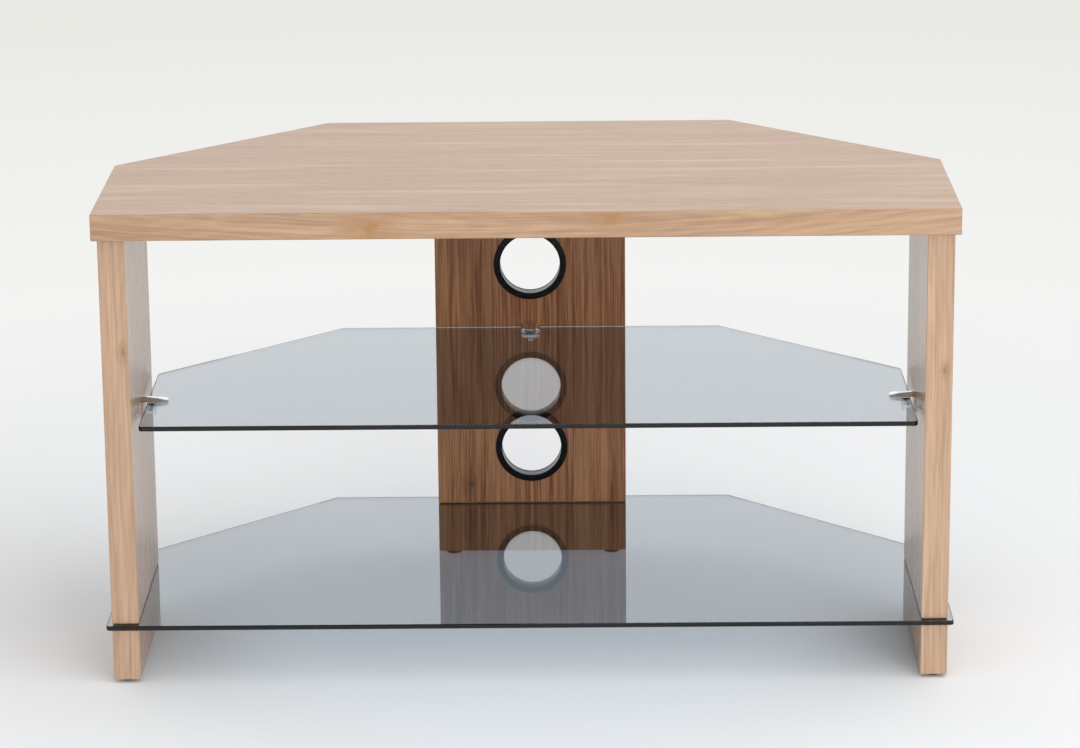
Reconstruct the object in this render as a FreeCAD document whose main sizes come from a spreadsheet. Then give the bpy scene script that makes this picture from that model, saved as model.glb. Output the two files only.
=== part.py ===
import FreeCAD, Part
import os
import re
import Sketcher
from FreeCAD import Placement, Rotation, Vector

# Corner television stand: a hexagonal oak top on two side legs and a back column,
# two tinted glass shelves, chrome shelf clips and black cable rings.
# The front faces -Y, the floor is z = 0 and the middle of the footprint is x = y = 0.

SIZES = {
    # hexagonal top board
    "top_width": 1050,
    "top_depth": 535,
    "side_edge": 278,
    "top_thickness": 33,
    "overall_height": 600,
    "wall_angle": 45,
    "arris": 0.8,
    "overhang": 7,
    # side legs and back column
    "side_thickness": 33,
    "side_depth": 250,
    "column_width": 255,
    "column_thickness": 25,
    # glass shelves
    "glass_thickness": 6,
    "glass_corner": 5,
    "glass_bevel": 0.8,
    "bottom_shelf_height": 77,
    "middle_shelf_height": 327,
    "middle_setback": 24,
    "middle_inset": 38.2,
    # soft gaskets between glass and wood
    "gasket_thickness": 1,
    "gasket_inset": 1.5,
    # cable rings in the column
    "ring_bore": 80,
    "ring_wall": 2,
    "ring_flange": 8.5,
    "ring_flange_thickness": 2.5,
    "ring_round": 1,
    "ring_sleeve": 20,
    "upper_ring_height": 412,
    "lower_ring_height": 157,
    # glass clips
    "clip_width": 26,
    "clip_reach": 33,
    "clip_web": 5,
    "clip_setback": 140,
    "edge_clearance": 1.5,
    "jaw_root": 6,
    "jaw_nose": 2.4,
    "jaw_round": 1.6,
    "jaw_pad": 0.8,
    "jaw_pad_width": 18,
    "jaw_pad_length": 15,
    "arm_reach": 18,
    "arm_gap": 7,
    "arm_thickness": 4.5,
    "arm_corner": 6,
    "clamp_screw": 5,
    "clamp_screw_place": 12,
    "clamp_knob": 9,
    "clamp_knob_height": 3,
    "clamp_knob_gap": 1.5,
    "clamp_pad": 9.5,
    "clamp_pad_height": 2,
    "fixing_screw": 3.5,
    "fixing_screw_length": 20,
    "fixing_head": 6.2,
    "fixing_head_height": 2,
    # feet
    "foot_diameter": 21,
    "foot_height": 4.5,
    "foot_round": 1.2,
    "foot_inset": 20,
    "foot_recess": 2.2,
    "pin_diameter": 3,
    "pin_length": 16,
    "pin_head": 7,
    "pin_head_height": 1.2,
    # bolts that clamp each leg and the column on the bottom glass
    "bolt_diameter": 6,
    "bolt_head": 11,
    "bolt_head_height": 4,
    "bolt_socket": 5,
    "bolt_socket_depth": 2.5,
    "bolt_recess": 12,
    "bolt_inset": 60,
    "bolt_tip_gap": 2,
    "insert_diameter": 10,
    "insert_length": 24,
    "bush_diameter": 11.5,
    # cam fittings and dowels that hold the top
    "cam_diameter": 15,
    "cam_depth": 12.5,
    "cam_drop": 34,
    "cam_inset": 70,
    "cam_slot_depth": 2,
    "cam_slot": 6,
    "cam_bore": 8.4,
    "cam_cover": 1,
    "cam_bolt": 6,
    "cam_bolt_neck": 4.4,
    "cam_bolt_head": 7.4,
    "cam_bolt_head_height": 3,
    "cam_bolt_neck_height": 6,
    "cam_bolt_thread": 11,
    "dowel_diameter": 8,
    "dowel_length": 30,
    "dowel_inset": 25,
    "dowel_end_gap": 1,
    # fits
    "fit_clearance": 0.1,
    "bolt_clearance": 0.3,
    "overrun": 5,
}

# Places and sizes that follow from the driving ones.
PLACES = {
    "front": "0 - top_depth / 2",
    "back": "top_depth / 2",
    "half_width": "top_width / 2",
    "half_back": "half_width - (top_depth - side_edge) / tan(wall_angle)",
    "side_corner": "front + side_edge",
    "top_underside": "overall_height - top_thickness",
    "side_outer": "half_width - overhang",
    "side_inner": "side_outer - side_thickness",
    "side_middle": "side_outer - side_thickness / 2",
    "side_front": "front + overhang",
    "side_rear": "side_front + side_depth",
    "column_back": "back - overhang",
    "column_front": "column_back - column_thickness",
    "column_middle": "column_back - column_thickness / 2",
    "half_column": "column_width / 2",
    "bottom_glass_under": "bottom_shelf_height - glass_thickness",
    "block_top": "bottom_glass_under - gasket_thickness",
    "leg_bottom": "bottom_shelf_height + gasket_thickness",
    "middle_under": "middle_shelf_height - glass_thickness",
    "middle_mid": "middle_shelf_height - glass_thickness / 2",
    "shelf_gap": "clip_web + edge_clearance",
    "middle_half": "side_inner - shelf_gap",
    "middle_front": "front + middle_setback",
    "middle_back": "column_front - shelf_gap",
    "middle_half_back": "half_back + (back - middle_back) / tan(wall_angle) - middle_inset / sin(wall_angle)",
    "middle_corner": "middle_back - (middle_half - middle_half_back) * tan(wall_angle)",
    "ring_hole": "ring_bore + 2 * ring_wall + 2 * fit_clearance",
    "jaw_under": "glass_thickness / 2 + jaw_pad",
    "clip_top": "jaw_under + jaw_root",
    "arm_top": "0 - glass_thickness / 2 - arm_gap",
    "clip_bottom": "arm_top - arm_thickness",
    "fixing_level": "arm_top + arm_gap / 2",
    "clip_place": "front + clip_setback",
    "cam_level": "top_underside - cam_drop",
    "cam_seat": "cam_cover + cam_depth",
    "cam_centre": "cam_cover + cam_depth / 2",
    "bolt_seat": "foot_height + bolt_recess",
    "bolt_tip": "leg_bottom + insert_length - bolt_tip_gap",
    "bolt_hole": "bolt_diameter + 2 * bolt_clearance",
    "insert_hole": "insert_diameter + 2 * fit_clearance",
    "dowel_hole": "dowel_diameter + 2 * fit_clearance",
    "pilot_hole": "fixing_screw + 2 * fit_clearance",
    "pin_hole": "pin_diameter + 2 * fit_clearance",
}


def formula(text):
    """Spell a short sum of named sizes and places as an expression on the sheet."""
    def spell(match):
        word = match.group()
        if word in SIZES:
            return "sizes." + word
        if word in PLACES:
            return "(" + formula(PLACES[word]) + ")"
        return word
    return re.sub(r"[a-z_]+", spell, text)


doc = FreeCAD.newDocument("corner_stand")
sheet = doc.addObject("Spreadsheet::Sheet", "sizes")
for row, (alias, value) in enumerate(SIZES.items(), start=1):
    sheet.set("A%d" % row, alias)
    sheet.set("B%d" % row, str(value))
    sheet.setAlias("B%d" % row, alias)
doc.recompute()

# Turns that point a piece's own +Z at a side of the stand, with its +Y up.
FACING = {
    "up": Rotation(),
    "front": Rotation(Vector(1, 0, 0), 90),
    "right": Rotation(Vector(0, 0, 1), 90) * Rotation(Vector(1, 0, 0), 90),
    "left": Rotation(Vector(0, 0, 1), -90) * Rotation(Vector(1, 0, 0), 90),
    "back": Rotation(Vector(0, 0, 1), 180) * Rotation(Vector(1, 0, 0), 90),
}
NODES = []


def number(text):
    return float(sheet.evalExpression(formula(text)))


def new_body(name):
    body = doc.addObject("PartDesign::Body", name)
    body.Label = name
    return body


def new_sketch(body, plane, level="0"):
    """A sketch on one of the body's own planes, moved along the plane's normal."""
    sketch = body.newObject("Sketcher::SketchObject", body.Name + "_sketch")
    support = [item for item in body.Origin.OriginFeatures if item.Role == plane][0]
    sketch.AttachmentSupport = [(support, "")]
    sketch.MapMode = "FlatFace"
    sketch.setExpression("AttachmentOffset.Base.z", formula(level))
    return sketch


def bind(sketch, constraint, text):
    index = sketch.addConstraint(constraint)
    sketch.setExpression("Constraints[%d]" % index, formula(text))


def pin(sketch, item, end, x, y):
    """Hold one point of a sketch at its distances from the sketch's origin."""
    bind(sketch, Sketcher.Constraint("DistanceX", -1, 1, item, end, number(x)), x)
    bind(sketch, Sketcher.Constraint("DistanceY", -1, 1, item, end, number(y)), y)


def draw_polygon(sketch, points):
    corners = [Vector(number(x), number(y), 0) for x, y in points]
    first = sketch.GeometryCount
    count = len(points)
    for here in range(count):
        sketch.addGeometry(Part.LineSegment(corners[here], corners[(here + 1) % count]))
    for here in range(count):
        after = first + (here + 1) % count
        sketch.addConstraint(Sketcher.Constraint("Coincident", first + here, 2, after, 1))
    for here, (x, y) in enumerate(points):
        pin(sketch, first + here, 1, x, y)


def draw_circle(sketch, x, y, diameter):
    centre = Vector(number(x), number(y), 0)
    radius = number(diameter) / 2
    item = sketch.addGeometry(Part.Circle(centre, Vector(0, 0, 1), radius))
    pin(sketch, item, 3, x, y)
    bind(sketch, Sketcher.Constraint("Diameter", item, 2 * radius), diameter)


def pad(body, sketch, length):
    feature = body.newObject("PartDesign::Pad", body.Name + "_pad")
    feature.Profile = sketch
    feature.setExpression("Length", formula(length))
    doc.recompute()
    return feature


def pocket(body, sketch, depth, reverse=False, both_ways=False):
    """Cut a sketch into the body and make sure that it takes material away."""
    before = body.Shape.Volume
    feature = body.newObject("PartDesign::Pocket", body.Name + "_cut")
    feature.Profile = sketch
    feature.setExpression("Length", formula(depth))
    feature.Reversed = reverse
    if both_ways:
        feature.SideType = "Symmetric"
    doc.recompute()
    if not body.Shape.Volume < before:
        raise RuntimeError("a cut in %s takes nothing away" % body.Label)
    return feature


def drill(body, plane, level, places, diameter, depth, reverse=False):
    sketch = new_sketch(body, plane, level)
    for x, y in places:
        draw_circle(sketch, x, y, diameter)
    return pocket(body, sketch, depth, reverse)


def ease(body, kind, feature, size, wanted=None):
    """Round or bevel the edges of a feature, all of them or those that are wanted."""
    finish = body.newObject("PartDesign::" + kind, body.Name + "_edges")
    if wanted is None:
        finish.Base = (feature, [""])
        finish.UseAllEdges = True
    else:
        edges = feature.Shape.Edges
        names = ["Edge%d" % (i + 1) for i, edge in enumerate(edges) if wanted(edge)]
        finish.Base = (feature, names)
    finish.setExpression("Size" if kind == "Chamfer" else "Radius", formula(size))
    doc.recompute()
    return finish


def upright(edge):
    ends = [vertex.Point for vertex in edge.Vertexes]
    return (ends[1] - ends[0]).cross(Vector(0, 0, 1)).Length < edge.Length * LEVEL_SHARE


def level(edge):
    box = edge.BoundBox
    return box.ZLength < max(box.XLength, box.YLength) * LEVEL_SHARE


LEVEL_SHARE = 0.001


def place(item, x, y, z, turn=Rotation()):
    item.Placement = Placement(Vector(), turn)
    for axis, text in zip("xyz", (x, y, z)):
        item.setExpression("Placement.Base." + axis, formula(text))
    return item


def turned(name, profile):
    """A round piece: a closed profile of (radius, height) points spun about its own Z."""
    body = new_body(name)
    sketch = new_sketch(body, "XZ_Plane")
    draw_polygon(sketch, profile)
    spin = body.newObject("PartDesign::Revolution", name + "_spin")
    spin.Profile = sketch
    spin.ReferenceAxis = (sketch, ["V_Axis"])
    doc.recompute()
    return body


def group(name, members):
    """Like pieces that share one name, each still a solid of its own."""
    bundle = doc.addObject("Part::Compound", name)
    bundle.Label = name
    bundle.Links = members
    NODES.append(bundle)


def keep(body):
    NODES.append(body)
    return body


def mirrored(side, text):
    return "%d * (%s)" % (side, text)


def rectangle(left, right, low, high):
    return [(left, low), (right, low), (right, high), (left, high)]


def hexagon(half, half_rear, near, corner, far):
    """Corner-unit outline: straight front, short sides and two slanted back edges."""
    right = [(half, near), (half, corner), (half_rear, far)]
    left = [("0 - (%s)" % x, y) for x, y in reversed(right)]
    return right + left


def board(name, outline, low, high):
    """A flat board with eased edges, standing or lying between two levels."""
    body = new_body(name)
    sketch = new_sketch(body, "XY_Plane", low)
    draw_polygon(sketch, outline)
    slab = pad(body, sketch, "(%s) - (%s)" % (high, low))
    ease(body, "Chamfer", slab, "arris")
    return keep(body)


def glass(name, outline, low):
    """A glass sheet with rounded corners and a small polished bevel."""
    body = new_body(name)
    sketch = new_sketch(body, "XY_Plane", low)
    draw_polygon(sketch, outline)
    sheet_pad = pad(body, sketch, "glass_thickness")
    corners = ease(body, "Fillet", sheet_pad, "glass_corner", upright)
    ease(body, "Chamfer", corners, "glass_bevel", level)
    return keep(body)


# Where each support meets the boards above and below it: plan places of its fittings.
SUPPORTS = {
    "left": {
        "outline": rectangle("0 - side_outer", "0 - side_inner", "side_front", "side_rear"),
        "gasket": rectangle("0 - side_outer + gasket_inset", "0 - side_inner - gasket_inset",
                            "side_front + gasket_inset", "side_rear - gasket_inset"),
    },
    "right": {
        "outline": rectangle("side_inner", "side_outer", "side_front", "side_rear"),
        "gasket": rectangle("side_inner + gasket_inset", "side_outer - gasket_inset",
                            "side_front + gasket_inset", "side_rear - gasket_inset"),
    },
    "column": {
        "outline": rectangle("0 - half_column", "half_column", "column_front", "column_back"),
        "gasket": rectangle("0 - half_column + gasket_inset", "half_column - gasket_inset",
                            "column_front + gasket_inset", "column_back - gasket_inset"),
    },
}
for name, side in (("left", -1), ("right", 1)):
    across = mirrored(side, "side_middle")
    cam_across = mirrored(side, "side_inner + cam_centre")
    for fitting in ("bolt", "foot", "dowel"):
        inset = fitting + "_inset"
        SUPPORTS[name][fitting] = [(across, "side_front + " + inset), (across, "side_rear - " + inset)]
    SUPPORTS[name]["cam"] = [(cam_across, "side_front + cam_inset"), (cam_across, "side_rear - cam_inset")]
for fitting in ("bolt", "foot", "dowel", "cam"):
    inset = fitting + "_inset"
    along = "column_back - cam_centre" if fitting == "cam" else "column_middle"
    spots = [("%s half_column %s %s" % (first, second, inset), along)
             for first, second in (("0 -", "+"), ("", "-"))]
    SUPPORTS["column"][fitting] = spots


def all_places(fitting):
    return [spot for support in SUPPORTS.values() for spot in support[fitting]]


def drill_ends(body, support):
    """Holes in the two ends of an upright: bolt inserts below, cam bolts and dowels above."""
    insert_depth = "insert_length + fit_clearance"
    dowel_depth = "dowel_length / 2 + dowel_end_gap"
    cam_depth = "cam_drop + cam_bolt_head_height"
    drill(body, "XY_Plane", "leg_bottom", support["bolt"], "insert_hole", insert_depth, reverse=True)
    drill(body, "XY_Plane", "top_underside", support["dowel"], "dowel_hole", dowel_depth)
    drill(body, "XY_Plane", "top_underside", support["cam"], "cam_bore", cam_depth)


def drill_block(body, support):
    """Through holes for the clamp bolts, wide recesses for their heads, and foot pin holes."""
    through = "block_top - foot_height + overrun"
    recess = "bolt_head + 2 * bolt_clearance"
    drill(body, "XY_Plane", "foot_height", support["bolt"], "bolt_hole", through, reverse=True)
    drill(body, "XY_Plane", "foot_height", support["bolt"], recess, "bolt_recess", reverse=True)
    drill(body, "XY_Plane", "foot_height", support["foot"], "pin_hole", "pin_length", reverse=True)


# Top board, with blind holes underneath for the cam bolts and dowels
top = board("top_panel", hexagon("half_width", "half_back", "front", "side_corner", "back"),
            "top_underside", "overall_height")
thread_hole = "cam_bolt + 2 * fit_clearance"
thread_depth = "cam_bolt_thread + fit_clearance"
drill(top, "XY_Plane", "top_underside", all_places("cam"), thread_hole, thread_depth, reverse=True)
drill(top, "XY_Plane", "top_underside", all_places("dowel"), "dowel_hole",
      "dowel_length / 2 + dowel_end_gap", reverse=True)

# Side legs: a tall panel above the bottom glass and a short block below it
for name, side in (("left", -1), ("right", 1)):
    support = SUPPORTS[name]
    panel = board(name + "_side_panel", support["outline"], "leg_bottom", "top_underside")
    drill_ends(panel, support)
    inner = mirrored(side, "side_inner")
    cams = [(y, "cam_level") for x, y in support["cam"]]
    pilot = [("clip_place", "middle_mid + fixing_level")]
    drill(panel, "YZ_Plane", inner, cams, "cam_diameter + 2 * fit_clearance",
          "cam_seat", reverse=side > 0)
    drill(panel, "YZ_Plane", inner, pilot, "pilot_hole", "fixing_screw_length", reverse=side > 0)
    block = board(name + "_lower_block", support["outline"], "foot_height", "block_top")
    drill_block(block, support)

# Back column, with two round cable holes, and its block below the glass
support = SUPPORTS["column"]
column = board("back_column", support["outline"], "leg_bottom", "top_underside")
drill_ends(column, support)
cams = [(x, "cam_level") for x, y in support["cam"]]
rings = [("0", "upper_ring_height"), ("0", "lower_ring_height")]
drill(column, "XZ_Plane", "0 - column_back", cams, "cam_diameter + 2 * fit_clearance",
      "cam_seat", reverse=True)
drill(column, "XZ_Plane", "0 - column_front", [("0", "middle_mid + fixing_level")], "pilot_hole",
      "fixing_screw_length")
drill(column, "XZ_Plane", "overrun - column_front", rings, "ring_hole", "column_thickness + 2 * overrun")
block = board("column_lower_block", support["outline"], "foot_height", "block_top")
drill_block(block, support)

# Glass shelves: the bottom one repeats the outline of the top
bottom = glass("bottom_shelf", hexagon("half_width", "half_back", "front", "side_corner", "back"),
               "bottom_glass_under")
drill(bottom, "XY_Plane", "bottom_shelf_height", all_places("bolt"), "bush_diameter + 2 * fit_clearance",
      "glass_thickness + overrun")
glass("middle_shelf", hexagon("middle_half", "middle_half_back", "middle_front", "middle_corner",
                              "middle_back"), "middle_under")

# Thin gaskets above and below the bottom glass
for name, support in SUPPORTS.items():
    for where, low in (("upper", "bottom_shelf_height"), ("lower", "block_top")):
        gasket = keep(new_body("%s_%s_gasket" % (name, where)))
        sketch = new_sketch(gasket, "XY_Plane", low)
        draw_polygon(sketch, support["gasket"])
        pad(gasket, sketch, "gasket_thickness")
        drill(gasket, "XY_Plane", low, support["bolt"], "bolt_hole", "gasket_thickness", reverse=True)

# Cable rings: a rounded flange on the column's face and a sleeve in its hole
ring_profile = [
    ("ring_bore / 2", "0 - ring_sleeve"),
    ("ring_bore / 2 + ring_wall", "0 - ring_sleeve"),
    ("ring_bore / 2 + ring_wall", "0"),
    ("ring_bore / 2 + ring_flange", "0"),
    ("ring_bore / 2 + ring_flange", "ring_flange_thickness - ring_round"),
    ("ring_bore / 2 + ring_flange - ring_round", "ring_flange_thickness"),
    ("ring_bore / 2 + ring_round", "ring_flange_thickness"),
    ("ring_bore / 2", "ring_flange_thickness - ring_round"),
]
for name in ("upper", "lower"):
    ring = keep(turned(name + "_cable_ring", ring_profile))
    place(ring, "0", "column_front", name + "_ring_height", FACING["front"])


def clip_body(name):
    """A cast C-shaped clip: a tapered upper jaw with a round nose, a web against the
    wood and a short lower arm. Its own +X points away from the wood."""
    body = new_body(name)
    half = "clip_width / 2"
    nose = "clip_reach - clip_width / 2"
    plan = new_sketch(body, "XY_Plane", "clip_bottom")
    radius = number(half)
    centre = Vector(number(nose), 0, 0)
    low_root = Vector(0, -radius, 0)
    high_root = Vector(0, radius, 0)
    low_nose = Vector(centre.x, -radius, 0)
    high_nose = Vector(centre.x, radius, 0)
    tip = Vector(number("clip_reach"), 0, 0)
    plan.addGeometry(Part.LineSegment(low_root, low_nose))
    plan.addGeometry(Part.Arc(low_nose, tip, high_nose))
    plan.addGeometry(Part.LineSegment(high_nose, high_root))
    plan.addGeometry(Part.LineSegment(high_root, low_root))
    for here, end, after, start in ((0, 2, 1, 1), (1, 2, 2, 1), (2, 2, 3, 1), (3, 2, 0, 1)):
        plan.addConstraint(Sketcher.Constraint("Coincident", here, end, after, start))
    pin(plan, 0, 1, "0", "0 - " + half)
    pin(plan, 1, 3, nose, "0")
    pin(plan, 1, 1, nose, "0 - " + half)
    bind(plan, Sketcher.Constraint("DistanceX", -1, 1, 1, 2, centre.x), nose)
    pin(plan, 2, 2, "0", half)
    pad(body, plan, "clip_top - clip_bottom")

    past_nose = "clip_reach + overrun"
    mouth = new_sketch(body, "XZ_Plane")
    draw_polygon(mouth, [
        ("clip_web", "arm_top"),
        ("arm_reach", "arm_top"),
        ("arm_reach", "clip_bottom - overrun"),
        (past_nose, "clip_bottom - overrun"),
        (past_nose, "jaw_under"),
        ("clip_web", "jaw_under"),
    ])
    pocket(body, mouth, "clip_width + overrun", both_ways=True)
    slope = new_sketch(body, "XZ_Plane")
    fall = "(jaw_root - jaw_nose) / (clip_reach - clip_web)"
    draw_polygon(slope, [
        ("clip_web", "clip_top"),
        (past_nose, "jaw_under + jaw_nose - overrun * " + fall),
        (past_nose, "clip_top + overrun"),
        ("clip_web", "clip_top + overrun"),
    ])
    cast = pocket(body, slope, "clip_width + overrun", both_ways=True)

    def jaw_rim(edge):
        middle = edge.valueAt((edge.FirstParameter + edge.LastParameter) / 2)
        on_top = edge.BoundBox.ZMin > number("jaw_under + jaw_nose / 2")
        across = edge.BoundBox.YLength > number("clip_width") * NEARLY_SHARE
        return on_top and middle.x > 0 and (middle.x > number(nose) or not across)

    def arm_corner(edge):
        return upright(edge) and edge.BoundBox.XMin > number("arm_reach") * NEARLY_SHARE \
            and edge.BoundBox.ZMax < 0
    rim = ease(body, "Fillet", cast, "jaw_round", jaw_rim)
    ease(body, "Fillet", rim, "arm_corner", arm_corner)

    drill(body, "XY_Plane", "arm_top", [("clamp_screw_place", "0")], "clamp_screw + 2 * fit_clearance",
          "arm_thickness + overrun")
    screw_spot = [("0", "fixing_level")]
    drill(body, "YZ_Plane", "clip_web", screw_spot, "pilot_hole", "clip_web + overrun")
    drill(body, "YZ_Plane", "clip_web", screw_spot, "fixing_head + 2 * fit_clearance", "fixing_head_height")
    return keep(body)


NEARLY_SHARE = 0.99

jaw_pad_outline = rectangle("shelf_gap + edge_clearance", "shelf_gap + edge_clearance + jaw_pad_length",
                            "0 - jaw_pad_width / 2", "jaw_pad_width / 2")
knob_top = "clip_bottom - clamp_knob_gap"
screw_tip = "0 - glass_thickness / 2 - clamp_pad_height"
clamp_screw_profile = [
    ("0", knob_top + " - clamp_knob_height"),
    ("clamp_knob / 2", knob_top + " - clamp_knob_height"),
    ("clamp_knob / 2", knob_top),
    ("clamp_screw / 2", knob_top),
    ("clamp_screw / 2", screw_tip),
    ("0", screw_tip),
]
clamp_pad_profile = rectangle("0", "clamp_pad / 2", screw_tip, "0 - glass_thickness / 2")
fixing_profile = [
    ("0", "clip_web - fixing_screw_length"),
    ("fixing_screw / 2", "clip_web - fixing_screw_length + fixing_screw"),
    ("fixing_screw / 2", "clip_web - fixing_head_height"),
    ("fixing_head / 2", "clip_web - fixing_head_height"),
    ("fixing_head / 2", "clip_web"),
    ("0", "clip_web"),
]
# Each clip: the wood face that it is screwed to and the way it points
CLIPS = {
    "left": ("0 - side_inner", "clip_place", 0, "right"),
    "right": ("side_inner", "clip_place", 180, "left"),
    "back": ("0", "column_front", -90, "front"),
}
REACH_WAYS = {"left": (1, 0), "right": (-1, 0), "back": (0, -1)}
for name, (x, y, angle, facing) in CLIPS.items():
    turn = Rotation(Vector(0, 0, 1), angle)
    way_x, way_y = REACH_WAYS[name]
    place(clip_body(name + "_clip_body"), x, y, "middle_mid", turn)
    jaw_pad = keep(new_body(name + "_clip_jaw_pad"))
    sketch = new_sketch(jaw_pad, "XY_Plane", "glass_thickness / 2")
    draw_polygon(sketch, jaw_pad_outline)
    pad(jaw_pad, sketch, "jaw_pad")
    place(jaw_pad, x, y, "middle_mid", turn)
    screw_x = "%s + %d * clamp_screw_place" % (x, way_x)
    screw_y = "%s + %d * clamp_screw_place" % (y, way_y)
    place(keep(turned(name + "_clip_clamp_screw", clamp_screw_profile)), screw_x, screw_y, "middle_mid")
    place(keep(turned(name + "_clip_clamp_pad", clamp_pad_profile)), screw_x, screw_y, "middle_mid")
    place(keep(turned(name + "_clip_fixing_screw", fixing_profile)), x, y, "middle_mid + fixing_level",
          FACING[facing])

# Feet with their nails
foot_profile = [
    ("pin_head / 2 + fit_clearance", "0"),
    ("foot_diameter / 2 - foot_round", "0"),
    ("foot_diameter / 2", "foot_round"),
    ("foot_diameter / 2", "foot_height"),
    ("pin_hole / 2", "foot_height"),
    ("pin_hole / 2", "foot_recess"),
    ("pin_head / 2 + fit_clearance", "foot_recess"),
]
pin_profile = [
    ("0", "foot_recess - pin_head_height"),
    ("pin_head / 2", "foot_recess - pin_head_height"),
    ("pin_head / 2", "foot_recess"),
    ("pin_diameter / 2", "foot_recess"),
    ("pin_diameter / 2", "foot_height + pin_length - pin_diameter"),
    ("0", "foot_height + pin_length - fit_clearance"),
]
FOOT_NAMES = {
    "left": ("left_front_foot", "left_rear_foot"),
    "right": ("right_front_foot", "right_rear_foot"),
    "column": ("column_left_foot", "column_right_foot"),
}
pins = []
for name, foot_names in FOOT_NAMES.items():
    for foot_name, (x, y) in zip(foot_names, SUPPORTS[name]["foot"]):
        place(keep(turned(foot_name, foot_profile)), x, y, "0")
        pins.append(place(turned(foot_name + "_pin", pin_profile), x, y, "0"))
group("foot_pins", pins)

# Bolts from below, through block, gaskets and glass into inserts in the uprights
bolt_profile = [
    ("0", "bolt_seat - bolt_head_height + bolt_socket_depth"),
    ("bolt_socket / 2", "bolt_seat - bolt_head_height + bolt_socket_depth"),
    ("bolt_socket / 2", "bolt_seat - bolt_head_height"),
    ("bolt_head / 2", "bolt_seat - bolt_head_height"),
    ("bolt_head / 2", "bolt_seat"),
    ("bolt_diameter / 2", "bolt_seat"),
    ("bolt_diameter / 2", "bolt_tip"),
    ("0", "bolt_tip"),
]
insert_profile = rectangle("bolt_diameter / 2 + fit_clearance", "insert_diameter / 2",
                           "leg_bottom", "leg_bottom + insert_length")
bush_profile = rectangle("bolt_diameter / 2 + fit_clearance", "bush_diameter / 2",
                         "bottom_glass_under", "bottom_shelf_height")
inserts = []
bushes = []
for name, support in SUPPORTS.items():
    bolts = []
    for index, (x, y) in enumerate(support["bolt"]):
        tag = "%s_%d" % (name, index)
        bolts.append(place(turned("bolt_" + tag, bolt_profile), x, y, "0"))
        inserts.append(place(turned("insert_" + tag, insert_profile), x, y, "0"))
        bushes.append(place(turned("bush_" + tag, bush_profile), x, y, "0"))
    group(name + "_clamp_bolts", bolts)
group("bolt_inserts", inserts)
group("glass_bushes", bushes)

# Cam fittings and dowels between the uprights and the top
cam_profile = [
    ("0", "0 - cam_seat"),
    ("cam_diameter / 2", "0 - cam_seat"),
    ("cam_diameter / 2", "0 - cam_cover"),
    ("cam_slot / 2", "0 - cam_cover"),
    ("cam_slot / 2", "0 - cam_cover - cam_slot_depth"),
    ("0", "0 - cam_cover - cam_slot_depth"),
]
cover_profile = rectangle("0", "cam_diameter / 2", "0 - cam_cover", "0")
cam_bolt_profile = [
    ("0", "cam_level - cam_bolt_head_height / 2"),
    ("cam_bolt_head / 2", "cam_level - cam_bolt_head_height / 2"),
    ("cam_bolt_head / 2", "cam_level + cam_bolt_head_height / 2"),
    ("cam_bolt_neck / 2", "cam_level + cam_bolt_head_height / 2"),
    ("cam_bolt_neck / 2", "cam_level + cam_bolt_neck_height"),
    ("cam_bolt / 2", "cam_level + cam_bolt_neck_height"),
    ("cam_bolt / 2", "top_underside + cam_bolt_thread"),
    ("0", "top_underside + cam_bolt_thread"),
]
dowel_profile = rectangle("0", "dowel_diameter / 2", "top_underside - dowel_length / 2",
                          "top_underside + dowel_length / 2")
CAM_FACES = {"left": ("0 - side_inner", "right"), "right": ("side_inner", "left"), "column": (None, "back")}
cam_locks = []
cam_covers = []
cam_bolts = []
dowels = []
for name, support in SUPPORTS.items():
    face_x, facing = CAM_FACES[name]
    for index, (x, y) in enumerate(support["cam"]):
        tag = "%s_%d" % (name, index)
        seat = (face_x, y) if face_x else (x, "column_back")
        lock = turned("cam_lock_" + tag, cam_profile)
        drill(lock, "XZ_Plane", "cam_bolt_head_height", [("0", "0 - cam_centre")], "cam_bore",
              "cam_diameter + overrun")
        cam_locks.append(place(lock, *seat, "cam_level", FACING[facing]))
        cover = turned("cam_cover_" + tag, cover_profile)
        cam_covers.append(place(cover, *seat, "cam_level", FACING[facing]))
        cam_bolts.append(place(turned("cam_bolt_" + tag, cam_bolt_profile), x, y, "0"))
    for index, (x, y) in enumerate(support["dowel"]):
        tag = "%s_%d" % (name, index)
        dowels.append(place(turned("dowel_" + tag, dowel_profile), x, y, "0"))
group("cam_locks", cam_locks)
group("cam_covers", cam_covers)
group("cam_bolts", cam_bolts)
group("top_dowels", dowels)

doc.recompute()
for item in doc.Objects:
    if "Invalid" in item.State or "Error" in item.State:
        raise RuntimeError("%s did not rebuild: %s" % (item.Label, item.State))
for node in NODES:
    shape = node.Shape
    if shape.isNull() or not shape.isValid() or not shape.Solids:
        raise RuntimeError("%s has no sound solid" % node.Label)
os.makedirs("parts", exist_ok=True)
for node in NODES:
    node.Shape.exportStep("parts/%s.step" % node.Label)
    box = node.Shape.BoundBox
    print("%-26s %2d solids %11.1f mm3  x %7.1f %7.1f  y %7.1f %7.1f  z %6.1f %6.1f" % (
        node.Label, len(node.Shape.Solids), node.Shape.Volume,
        box.XMin, box.XMax, box.YMin, box.YMax, box.ZMin, box.ZMax))
print("%d nodes" % len(NODES))
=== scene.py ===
import bmesh
import bpy
from math import atan2, floor, pi, radians
from mathutils import Matrix, Vector


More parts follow.
